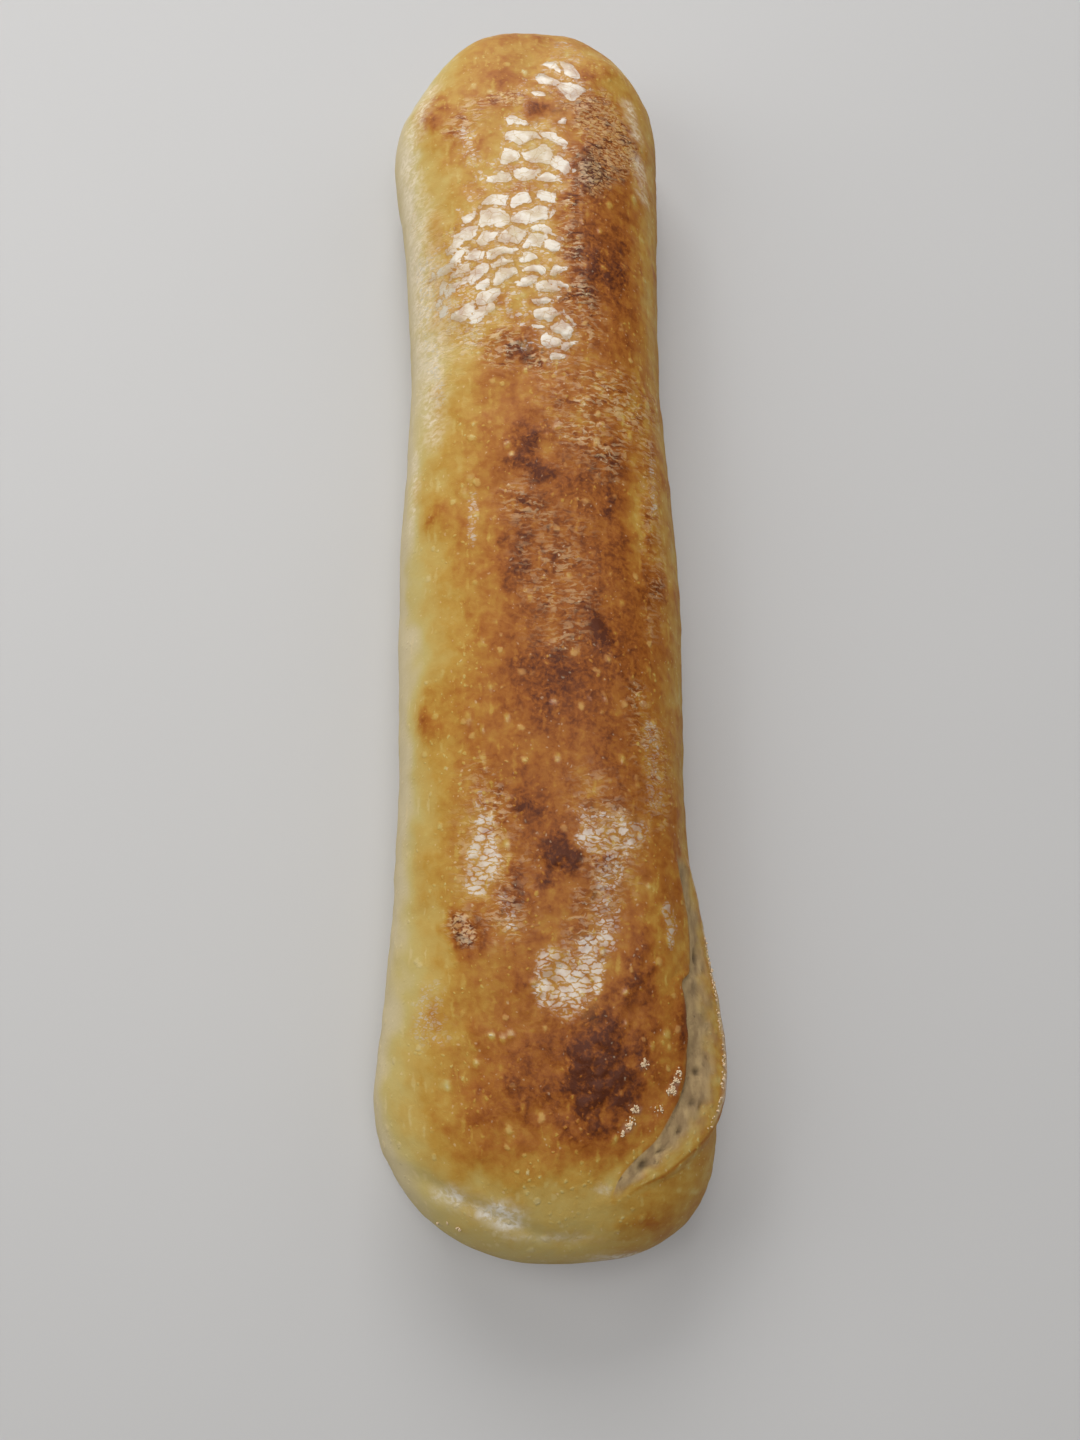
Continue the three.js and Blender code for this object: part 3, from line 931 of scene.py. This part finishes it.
# %% Relief
# how high each kind of relief stands out, or how deep it lies
LUMPS = 0.4
GRIT = 0.12
BUBBLE = 0.9
TILE = 0.14
BLISTER = 0.22
WRINKLE = 0.12
PORE = 0.3
HOLE = 1.2
RAG = 0.3
relief = (LUMPS * coarse_mottle + GRIT * fine_mottle) * (1 - 0.75 * film)
relief += BUBBLE * scorch * top_side * (1 - film)
relief += TILE * ease(tile_edge, -0.2, 0.6) + BLISTER * blister
relief += WRINKLE * wrinkle_ridges * wrinkled * (1 - fine_film)
relief -= PORE * pores + HOLE * holes
relief += RAG * torn * fine_mottle
relief *= np.sqrt(ends) * ~underside
skin = form + out * relief[..., None]
skin[..., 2] = np.maximum(skin[..., 2], 0)
print("relief from", relief.min().round(2), "to", relief.max().round(2), "mm")

# %% [markdown]
# The mesh. The last column joins the first, and each tip is a fan of triangles round one vertex, so the
# loaf is one closed skin. What was worked out for each point goes along as attributes, which a material
# reads by name.

# %% Mesh
def per_vertex(values):
    """The values of a net in the order of the mesh's vertices: near tip, rows between, far tip."""
    return np.concatenate([values[0, :1], values[1:-1].reshape(-1, *values.shape[2:]), values[-1, :1]])


def loaf_mesh(points):
    """A closed mesh over a net of points in millimetres."""
    rows, columns = points.shape[:2]
    vertices = per_vertex(points) * MM
    here = np.arange(columns)
    after = (here + 1) % columns
    first = 1 + np.arange(rows - 3)[:, None] * columns
    quads = np.stack([first + here, first + columns + here, first + columns + after, first + after], -1)
    last = 1 + (rows - 3) * columns
    near_fan = np.stack([np.zeros_like(here), 1 + here, 1 + after], -1)
    far_fan = np.stack([last + after, last + here, np.full_like(here, len(vertices) - 1)], -1)
    faces = near_fan.tolist() + quads.reshape(-1, 4).tolist() + far_fan.tolist()
    mesh = bpy.data.meshes.new("loaf_crust")
    mesh.from_pydata(vertices.tolist(), [], faces)
    mesh.shade_smooth()
    return mesh


def unwrap(mesh, points):
    """Lays the net flat as the mesh's UV map: once round the loaf from left to right, along it upwards."""
    closed = np.concatenate([points, points[:, :1]], axis=1)
    steps = np.linalg.norm(np.diff(closed, axis=1), axis=-1) + TINY
    u = np.concatenate([np.zeros((len(points), 1)), np.cumsum(steps, axis=1)], axis=1)
    u /= u[:, -1:]
    row_steps = np.linalg.norm(np.diff(points, axis=0), axis=-1).mean(axis=1)
    v = np.concatenate([[0], np.cumsum(row_steps)])
    flat = np.stack([u, np.broadcast_to((v / v[-1])[:, None], u.shape)], axis=-1)
    start, end = flat[:, :-1], flat[:, 1:]
    near_fan = np.stack([(start[0] + end[0]) / 2, start[1], end[1]], axis=1)
    quads = np.stack([start[1:-2], start[2:-1], end[2:-1], end[1:-2]], axis=2)
    far_fan = np.stack([end[-2], start[-2], (start[-1] + end[-1]) / 2], axis=1)
    corners = np.concatenate([near_fan.ravel(), quads.ravel(), far_fan.ravel()])
    mesh.uv_layers.new(name="OFBake").uv.foreach_set("vector", corners.astype(np.float32))


crust_mesh = loaf_mesh(skin)
unwrap(crust_mesh, skin)
marks = {
    "toast": toast,
    "tile_edge": tile_edge,
    "film": film,
    "fine_film": fine_film,
    "blister": blister,
    "wrinkled": wrinkled,
    "leathery": leathery,
    "painted_sheen": painted_sheen,
    "crumb": crumb,
    "crumb_shade": crumb_shade,
    "torn": torn,
    "flour": flour,
    "top_side": top_side,
}
for name, values in marks.items():
    attribute = crust_mesh.attributes.new(name, "FLOAT", "POINT")
    attribute.data.foreach_set("value", per_vertex(values).astype(np.float32))
crust = bpy.data.objects.new("loaf_crust", crust_mesh)
bpy.context.scene.collection.objects.link(crust)
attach(crust, "root")
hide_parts("loaf")
print(len(crust_mesh.vertices), "vertices,", len(crust_mesh.polygons), "faces,", len(marks), "attributes")

# %% [markdown]
# Detail finer than the mesh comes from texture nodes in the crust's material: soft noise, spots of mixed
# sizes for the smallest blisters, cells with cracks between for the fine film and the leather, and noise
# drawn out across the loaf for the wrinkles. The places they are drawn at wander by about a millimetre, so
# that nothing comes out perfectly round, and are turned, so that the grain of the noise doesn't follow the
# loaf.

# %% Helpers for the crust's patterns
WANDER = 0.0024
crust_material, tree, shader = start_material("crust")
where = add(tree, "ShaderNodeTexCoord", out="Object")
wander_settings = {"Vector": where, "Scale": 280, "Detail": 3.0, "Roughness": 0.65}
wander_noise = add(tree, "ShaderNodeTexNoise", wander_settings, out="Color")
wander_sum = {0: wander_noise, 1: [WANDER] * 3, 2: where}
wandering = add(tree, "ShaderNodeVectorMath", wander_sum, operation="MULTIPLY_ADD")


def mark(name):
    """One of the mesh's attributes."""
    return add(tree, "ShaderNodeAttribute", attribute_name=name, out="Fac")


def times(value, factor, clamp=False):
    """A value times a factor."""
    return math_node(tree, "MULTIPLY", value, factor, clamp=clamp)


def times_onto(value, factor, onto, clamp=False):
    """A value times a factor, added onto another value."""
    return math_node(tree, "MULTIPLY_ADD", value, factor, onto, clamp=clamp)


def larger(first, second):
    """The larger of two values."""
    return math_node(tree, "MAXIMUM", first, second)


def place(stretch):
    """Wandering places on the loaf in metres, scaled along x, y and z, and then turned."""
    return add(tree, "ShaderNodeMapping", {"Vector": wandering, "Scale": stretch, "Rotation": TURN_ANGLES})


def grain(scale, detail=3.0, stretch=(1, 1, 1), distortion=0.0):
    """Noise from 0 to 1 at so many waves to the metre."""
    inputs = {"Vector": place(stretch), "Scale": scale, "Detail": detail, "Distortion": distortion}
    return add(tree, "ShaderNodeTexNoise", inputs, out="Fac")


def centred(noise_socket, strength, onto=0.0):
    """Noise about 0 of some strength, added onto a value."""
    return times_onto(math_node(tree, "SUBTRACT", noise_socket, 0.5), strength, onto)


def cell_pattern(scale, stretch):
    """Cells, so many to the metre: the distance from a cell's middle, and two chances for each cell."""
    distance = add(tree, "ShaderNodeTexVoronoi", {"Vector": place(stretch), "Scale": scale}, out="Distance")
    chance = add(tree, "ShaderNodeSeparateColor", {"Color": distance.node.outputs["Color"]}, out="Red")
    return distance, chance, chance.node.outputs["Green"]


def spots(scale, small, large, present, stretch=(1, 1, 1), core=0.3):
    """Spots in a share of the cells: 1 in the core of a spot, 0 outside."""
    distance, chance, other_chance = cell_pattern(scale, stretch)
    size = times_onto(chance, large - small, small)
    share = math_node(tree, "DIVIDE", distance, size)
    chosen = math_node(tree, "LESS_THAN", other_chance, present)
    return times(ramp(tree, share, 1.0, core), chosen)


def from_cracks(scale, stretch):
    """The distance from the cracks between cells."""
    inputs = {"Vector": place(stretch), "Scale": scale}
    return add(tree, "ShaderNodeTexVoronoi", inputs, out="Distance", feature="DISTANCE_TO_EDGE")


crack_wear = grain(1100, 2.0)


def cracked(scale, stretch, strength, closed=0.0):
    """Cells with cracks between: 1 inside a cell, 0 along a crack. As the strength falls, cells fade one by
    one. Where closed is near 1, the cracks close up."""
    border = centred(crack_wear, 0.3, times_onto(closed, 0.06, from_cracks(scale, stretch)))
    _, chance, _ = cell_pattern(scale, stretch)
    lasting = ramp(tree, times_onto(chance, 0.4, strength), 0.5, 1.05)
    return times(ramp(tree, border, 0.05, 0.2), lasting)


# %% Fine patterns of the crust
round_spots = spots(220, small=0.14, large=0.33, present=0.42, core=0.35)
blister_spots = times(round_spots, ramp(tree, mark("toast"), 0.92, 0.7))
pin_spots = spots(620, small=0.16, large=0.46, present=0.6)
clusters = ramp(tree, grain(70, 2.0), 0.42, 0.62)
pins = times(pin_spots, times_onto(clusters, 0.8, 0.2))
# tiny pale specks that stand for glints: painted highlights
painted_glints = spots(760, small=0.14, large=0.36, present=0.2)
long_spots = spots(520, small=0.2, large=0.5, present=0.4, stretch=(1, 0.22, 1))
dashes = times(long_spots, mark("top_side"))
wrinkle_noise = grain(1060, stretch=(0.4, 1, 0.4), distortion=0.6)
raised = times(ramp(tree, wrinkle_noise, 0.48, 0.61), mark("wrinkled"))
sunk = times(ramp(tree, wrinkle_noise, 0.48, 0.36), mark("wrinkled"))
folds = ramp(tree, grain(300, 2.0, stretch=(0.45, 1, 0.45), distortion=1.2), 0.47, 0.38)
smooth_leather = math_node(tree, "SUBTRACT", mark("leathery"), times(folds, 0.5))
pebbles = cracked(920, (0.62, 1, 0.62), smooth_leather)
soft_patches = ramp(tree, grain(190, 2.0), 0.4, 0.62)
film_core = times(ramp(tree, mark("fine_film"), 0.7, 1.0), soft_patches)
core_tile = cracked(680, (0.46, 1, 0.46), mark("fine_film"), film_core)
fringe_tile = cracked(1250, (0.5, 1, 0.5), mark("fine_film"))
in_core = ramp(tree, centred(grain(300), 0.6, mark("fine_film")), 0.62, 0.82)
# a Mix node in its plain mode keeps the two values at 2 and 3
fine_tile = add(tree, "ShaderNodeMix", {0: in_core, 2: fringe_tile, 3: core_tile}, data_type="FLOAT")
print("fine patterns of the crust:", len(tree.nodes), "nodes")

# %% [markdown]
# The crust's colour follows its browning through a ramp: cream, yellow, gold, amber, brown, and the
# blackish brown of a scorch. The fine patterns are added before the ramp, so they shift the bake and not
# just the tint. Each says how much browner it is than the skin round it, or how much paler where the
# number is below 0.

# %% Crust browning
# browning, and its colour as a screen shows it
BROWNING = [
    (0.0, (198, 182, 144)),
    (0.07, (190, 170, 106)),
    (0.14, (188, 159, 87)),
    (0.28, (180, 139, 60)),
    (0.42, (170, 119, 45)),
    (0.56, (158, 97, 33)),
    (0.7, (140, 77, 22)),
    (0.84, (113, 57, 14)),
    (1.0, (80, 36, 12)),
]
toasted = mark("toast")
blotches = grain(420, 4.0)
charring = times(ramp(tree, toasted, 0.4, 1.0), 0.9)
pin_paling = times_onto(ramp(tree, toasted, 0.65, 0.9), -0.08, -0.3)
leather_cracks = math_node(tree, "SUBTRACT", mark("leathery"), pebbles, clamp=True)
folded = times(folds, larger(mark("leathery"), mark("wrinkled")))
shift = centred(blotches, 0.5)
shift = centred(grain(150, stretch=(1, 0.25, 1)), 0.3, shift)
shift = times_onto(blister_spots, -0.2, shift)
shift = centred(grain(1000), charring, shift)
shift = times_onto(pins, pin_paling, shift)
shift = times_onto(dashes, -0.16, shift)
shift = times_onto(sunk, 0.1, shift)
shift = times_onto(leather_cracks, 0.14, shift)
shift = times_onto(folded, 0.27, shift)
bake = times_onto(shift, ramp(tree, toasted, 0.0, 0.5), toasted)
bake = times_onto(mark("blister"), -0.3, bake, clamp=True)
browned = add(tree, "ShaderNodeValToRGB", {"Fac": bake}, out="Color")
stops = browned.node.color_ramp.elements
while len(stops) < len(BROWNING):
    stops.new(0.5)
for stop, (browning, tone) in zip(stops, BROWNING):
    stop.position = browning
    stop.color = linear(*tone)
print("browning ramp of", len(stops), "colours")

# %% [markdown]
# Over the browning lie tints. The ridges of wrinkles are tan and partly a painted highlight, small pale
# specks are painted glints, and a whitish sheen is painted along a few edges. The film lies on a golden
# ground, and its tiles are painted whitish, a painted highlight beside the clear coat's real one. The tiles
# get a crisp edge here, from the distance that the mesh carries, and a painted shade along their edges.

# %% Wrinkles, film and tiles over the browning
WRINKLE_TAN_AND_HIGHLIGHT = (214, 184, 138)
PEBBLE_TAN = (206, 166, 112)
BLISTER_TAN = (214, 172, 112)
GLINT_HIGHLIGHT = (232, 212, 176)
PALE_DOT = (216, 194, 146)
FILM_GOLD = (202, 158, 80)
SHEEN_TINT = (226, 212, 186)
TILE_SHADE_BROWN = (136, 96, 40)
FINE_FILM_HIGHLIGHT = (196, 191, 182)
TILE_HIGHLIGHT = (208, 202, 186)


def tinted(colour, share, strength, tint):
    """A colour with a tint laid over it, as strong as a share from 0 to 1 and a strength say."""
    return mix_colour(tree, times(share, strength), colour, linear(*tint))


# the ridges of wrinkles are tan, and lighter in part as a painted highlight
colour = tinted(browned, raised, 0.5, WRINKLE_TAN_AND_HIGHLIGHT)
colour = tinted(colour, pebbles, 0.36, PEBBLE_TAN)
brown_blisters = times(blister_spots, ramp(tree, toasted, 0.3, 0.6))
colour = tinted(colour, brown_blisters, 0.3, BLISTER_TAN)
# painted glints, stronger where the skin is wrinkled
painted_glint_strength = times_onto(mark("wrinkled"), 0.4, 0.25)
colour = tinted(colour, times(painted_glints, mark("top_side")), painted_glint_strength, GLINT_HIGHLIGHT)
dot_strength = times(ramp(tree, toasted, 0.3, 0.1), 0.28)
colour = tinted(colour, larger(blister_spots, dashes), dot_strength, PALE_DOT)
golden = larger(mark("film"), mark("fine_film"))
colour = tinted(colour, times(golden, soft_patches), 0.35, FILM_GOLD)
# a whitish sheen painted along a few edges, broken by a fine net: a painted highlight
sheen_net = ramp(tree, grain(900, stretch=(0.6, 1, 0.6)), 0.4, 0.6)
painted_sheen_share = times(mark("painted_sheen"), times_onto(soft_patches, 0.4, 0.4))
colour = tinted(colour, painted_sheen_share, times_onto(sheen_net, 0.7, 0.3), SHEEN_TINT)
inside_tile = centred(grain(900), 0.6, centred(blotches, 1.6, mark("tile_edge")))
between_hairlines = ramp(tree, from_cracks(300, (0.7, 1, 0.7)), -0.02, 0.04)
whole_tile = times(ramp(tree, inside_tile, -0.12, 0.12), between_hairlines)
# a painted shade along the edges of the tiles, where they stand above the cracks
tile_edge_shade = times(ramp(tree, inside_tile, -0.8, -0.1), mark("film"))
colour = tinted(colour, tile_edge_shade, 0.3, TILE_SHADE_BROWN)
# the film's tiles, coarse and fine, are painted whitish: a painted highlight on top of the coat's real one
lit = times_onto(soft_patches, 0.5, 0.5)
coarse_tile = times(whole_tile, lit)
crazed = times(fine_tile, lit)
colour = tinted(colour, crazed, 0.64, FINE_FILM_HIGHLIGHT)
colour = tinted(colour, coarse_tile, 0.72, TILE_HIGHLIGHT)
print("film and tints added:", len(tree.nodes), "nodes so far")

# %% [markdown]
# Where the crust tore, crumb takes its place: a greyish cream, streaked and pored. The torn edge is dark,
# and flour lies over everything.

# %% Crumb and flour over the crust
CRUMB_DARKER = (145, 120, 86)
CRUMB_LIGHTER = (182, 155, 111)
PORE_SHADE = (100, 83, 60)
TORN_BROWN = (112, 62, 28)
FLOUR_WHITE = (224, 216, 200)
crumb_streaks = ramp(tree, grain(380, 5.0, stretch=(1, 0.4, 1)), 0.32, 0.68)
crumb_tone = mix_colour(tree, crumb_streaks, linear(*CRUMB_DARKER), linear(*CRUMB_LIGHTER))
# pores and holes are painted darker, as the shade in them, and so is the band under the torn edge
pore_spots = times(spots(420, small=0.1, large=0.38, present=0.6, stretch=(1, 0.55, 1)), 0.7)
crumb_tone = mix_colour(tree, larger(pore_spots, mark("crumb_shade")), crumb_tone, linear(*PORE_SHADE))
colour = mix_colour(tree, mark("crumb"), colour, crumb_tone)
torn_share = times(mark("torn"), ramp(tree, grain(160), 0.35, 0.6))
colour = mix_colour(tree, torn_share, colour, linear(*TORN_BROWN))
powder = times_onto(ramp(tree, grain(700, 4.0), 0.35, 0.62), 0.7, 0.3)
dust = times(mark("flour"), powder)
colour = mix_colour(tree, dust, colour, linear(*FLOUR_WHITE))
tree.links.new(colour, shader.inputs["Base Color"])
print("crumb and flour added:", len(tree.nodes), "nodes so far")

# %% [markdown]
# Gloss. The top is a little smoother than the sides, crumb and flour are matt, and a clear coat lies on
# the tiles and, weaker, on whatever else stands out of the skin. Flour dulls it. Last comes the finest
# relief, as bump.

# %% Crust gloss and fine relief
SIDE_ROUGHNESS = 0.62
rough = times_onto(mark("top_side"), -0.2, SIDE_ROUGHNESS)
rough = times_onto(grain(120), 0.14, rough)
rough = times_onto(mark("crumb"), 0.3, rough)
rough = times_onto(dust, 0.3, rough, clamp=True)
tree.links.new(rough, shader.inputs["Roughness"])
coat = times(coarse_tile, 0.85)
for pattern, gloss in ((crazed, 0.62), (mark("blister"), 0.35), (raised, 0.25), (pebbles, 0.2)):
    coat = larger(coat, times(pattern, gloss))
coat = times(coat, math_node(tree, "SUBTRACT", 1.0, dust), clamp=True)
tree.links.new(coat, shader.inputs["Coat Weight"])
shader.inputs["Specular IOR Level"].default_value = 0.15
shader.inputs["Coat Roughness"].default_value = 0.12
shader.inputs["Coat IOR"].default_value = 1.8
fine = times_onto(grain(900), 0.4, times(blister_spots, 0.5))
fine = times_onto(pins, 0.4, fine)
fine = times_onto(larger(raised, pebbles), 0.6, fine)
bump = add(tree, "ShaderNodeBump", {"Height": fine, "Strength": 0.5, "Distance": 0.0005}, out="Normal")
tree.links.new(bump, shader.inputs["Normal"])
crust_mesh.materials.append(crust_material)
print("crust has", len(tree.nodes), "nodes")

# %% [markdown]
# Loose flour. A few clumps lie on the crust beside the burst, a few specks below the fold, and a broken
# line of grains runs along the rim of the lip. Each grain is a tiny ball pushed out of shape and sunk into
# the crust. In a clump they lie so close that they fuse into one lump of powder. All of them are joined
# into one mesh.

# %% Flour grains
# across, along, how far they scatter, how many
CLUMPS = [
    (30, -146.8, 0.6, 60),
    (31.6, -144.6, 0.45, 22),
    (32.4, -142.6, 0.4, 8),
    (22.4, -140.8, 0.55, 24),
    (20, -151, 0.45, 26),
    (19.4, -152.8, 0.3, 5),
    (18.4, -155, 0.5, 40),
    (17, -156.4, 0.5, 9),
    (26.5, -151, 0.7, 10),
    (-22.4, -179, 0.3, 7),
    (-25.5, -178, 0.2, 3),
    (-29.4, -178.5, 0.2, 3),
]
# along the rim: how many, from where to where, how many columns above it, and how far they scatter
RIM_GRAINS, RIM_START, RIM_END, RIM_SHIFT, RIM_SCATTER = 110, -159, -110, 2, 0.25
GRAIN_RADIUS = (0.16, 0.4)
# how far each ball is stretched along an axis, and how unevenly its points stand out
GRAIN_STRETCH, GRAIN_LUMPS = (0.6, 1.2), 0.2
GRAIN_SEED = 7
random = np.random.default_rng(GRAIN_SEED)
ball = bmesh.new()
bmesh.ops.create_icosphere(ball, subdivisions=1, radius=1)
ball_points = np.array([v.co for v in ball.verts])
ball_faces = np.array([[v.index for v in face.verts] for face in ball.faces])
ball.free()


def nearest_point(x, y):
    """Row and column of the net's point nearest to a place on the crust."""
    return np.unravel_index(np.hypot(across - x, lengthwise - y).argmin(), across.shape)


grain_points, grain_faces = [], []


def drop_grain(place, upward):
    """Adds one grain at a place in millimetres, sunk into the crust there."""
    size = random.uniform(*GRAIN_RADIUS)
    stretched = ball_points * random.uniform(*GRAIN_STRETCH, 3)
    lumpy_ball = stretched * random.normal(1, GRAIN_LUMPS, (len(ball_points), 1))
    grain_faces.append(ball_faces + len(ball_points) * len(grain_points))
    grain_points.append(place + size * (lumpy_ball + upward / 3))


for x, y, scatter, count in CLUMPS:
    row, col = nearest_point(x, y)
    upward = out[row, col]
    rightward = np.cross((0, 1, 0), upward)
    onward = np.cross(upward, rightward)
    for right_mm, on_mm in random.normal(0, scatter, (count, 2)):
        drop_grain(skin[row, col] + right_mm * rightward + on_mm * onward, upward)
rim_column = np.abs(angle - column(rim)).argmin(axis=1)
rim_rows = np.flatnonzero((along > RIM_START) & (along < RIM_END))
for row in random.choice(rim_rows, RIM_GRAINS):
    col = rim_column[row] + RIM_SHIFT
    drop_grain(skin[row, col] + random.normal(0, RIM_SCATTER, 3), out[row, col])
grain_vertices = np.concatenate(grain_points) * MM
grain_mesh = bpy.data.meshes.new("flour_grains")
grain_mesh.from_pydata(grain_vertices.tolist(), [], np.concatenate(grain_faces).tolist())
grain_mesh.shade_smooth()
grains = bpy.data.objects.new("flour_grains", grain_mesh)
bpy.context.scene.collection.objects.link(grains)
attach(grains, "root")
print(len(grain_points), "grains of flour")

# %% [markdown]
# The grains are matt, and their colour comes from the same group as the floor's. Its clouds also give them
# a powdery surface, as bump.

# %% Flour material
FLOUR_DARKER = (206, 176, 136)
FLOUR_LIGHTER = (228, 208, 176)
FLOUR_ROUGHNESS = 0.9
flour_material, tree, shader = start_material("flour")
flour_tones = {"Darker": linear(*FLOUR_DARKER), "Lighter": linear(*FLOUR_LIGHTER)}
flour_settings = {"Scale": 500, "Detail": 2.0, **flour_tones}
flour_tone = add(tree, "ShaderNodeGroup", flour_settings, out="Tone", node_tree=uneven_tone)
tree.links.new(flour_tone, shader.inputs["Base Color"])
shader.inputs["Roughness"].default_value = FLOUR_ROUGHNESS
powder_relief = {"Height": flour_tone.node.outputs["Cloud"], "Strength": 0.4, "Distance": 0.0002}
tree.links.new(add(tree, "ShaderNodeBump", powder_relief, out="Normal"), shader.inputs["Normal"])
grain_mesh.materials.append(flour_material)
print("flour has", len(tree.nodes), "nodes")
